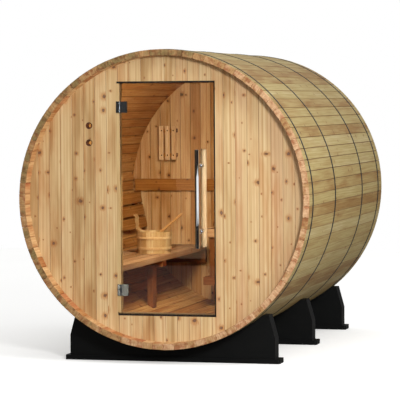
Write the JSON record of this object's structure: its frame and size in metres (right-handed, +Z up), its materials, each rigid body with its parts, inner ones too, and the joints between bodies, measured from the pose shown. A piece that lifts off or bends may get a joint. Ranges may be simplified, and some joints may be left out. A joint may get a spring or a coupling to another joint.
{
  "type": "barrel sauna",
  "caption": "Round wooden sauna of beaded staves held by steel hoops on black cradles, with crozed end walls, a hinged glass door, a slatted bench and a backrest.",
  "frame": {"origin": "on the ground under the middle of the barrel", "axes": "+Z up, the barrel axis along Y, the door faces -Y, +X to the right of someone who faces the door"},
  "size_m": [1.8335, 2.44, 1.9231],
  "materials": {
    "weathered_stave_wood": "flat sawn cedar, weathered and unpainted",
    "hoop_steel": "dark rolled steel band",
    "cradle_plastic": "moulded black plastic, fine grain",
    "front_board_wood": "knotty tongue and groove boards, oiled",
    "inside_wood": "planed cedar, bare",
    "pale_frame_wood": "planed pale softwood, bare",
    "bucket_pine": "turned and planed pine, bare",
    "seal_rubber": "black strip seal",
    "hinge_steel": "satin brushed",
    "polished_steel": "polished",
    "tinted_glass": "clear tempered sheet with a light bronze tint"
  },
  "bodies": {
    "sauna": {"floor_staves": "weathered_stave_wood", "right_lower_staves": "weathered_stave_wood", "right_upper_staves": "weathered_stave_wood", "roof_staves": "weathered_stave_wood", "left_upper_staves": "weathered_stave_wood", "left_lower_staves": "weathered_stave_wood", "front_hoop": "hoop_steel", "second_hoop": "hoop_steel", "third_hoop": "hoop_steel", "rear_hoop": "hoop_steel", "front_cradle": "cradle_plastic", "middle_cradle": "cradle_plastic", "rear_cradle": "cradle_plastic", "front_wall_left": "front_board_wood", "front_wall_right": "front_board_wood", "front_wall_over_door": "front_board_wood", "front_wall_under_door": "front_board_wood", "back_wall": "inside_wood", "back_wall_rail": "inside_wood", "hinge_post": "pale_frame_wood", "lock_stop": "pale_frame_wood", "head_stop": "pale_frame_wood", "sill_stop": "pale_frame_wood", "door_seal": "seal_rubber", "post_hinge_leaves": "hinge_steel", "bench_slats": "inside_wood", "bench_bearers": "inside_wood", "bench_leg": "inside_wood", "backrest_slats": "inside_wood", "backrest_brackets": "inside_wood", "lamp_shade_slats": "inside_wood", "lamp_shade_cleats": "inside_wood", "guard_rails": "inside_wood", "guard_slats": "inside_wood", "bucket": "bucket_pine", "bucket_hoops": "bucket_pine", "ladle": "bucket_pine"},
    "door": {"door_glass": "tinted_glass", "glass_hinge_leaves": "hinge_steel", "outer_handle": "polished_steel", "inner_handle": "pale_frame_wood", "handle_standoffs": "polished_steel"}
  },
  "joints": [
    {"name": "door_hinge", "type": "hinge", "parent": "sauna", "child": "door", "pos_m": [-0.29, -1.13, 1.0065], "axis": [0, 0, -1], "range_deg": [0, 110]}
  ]
}
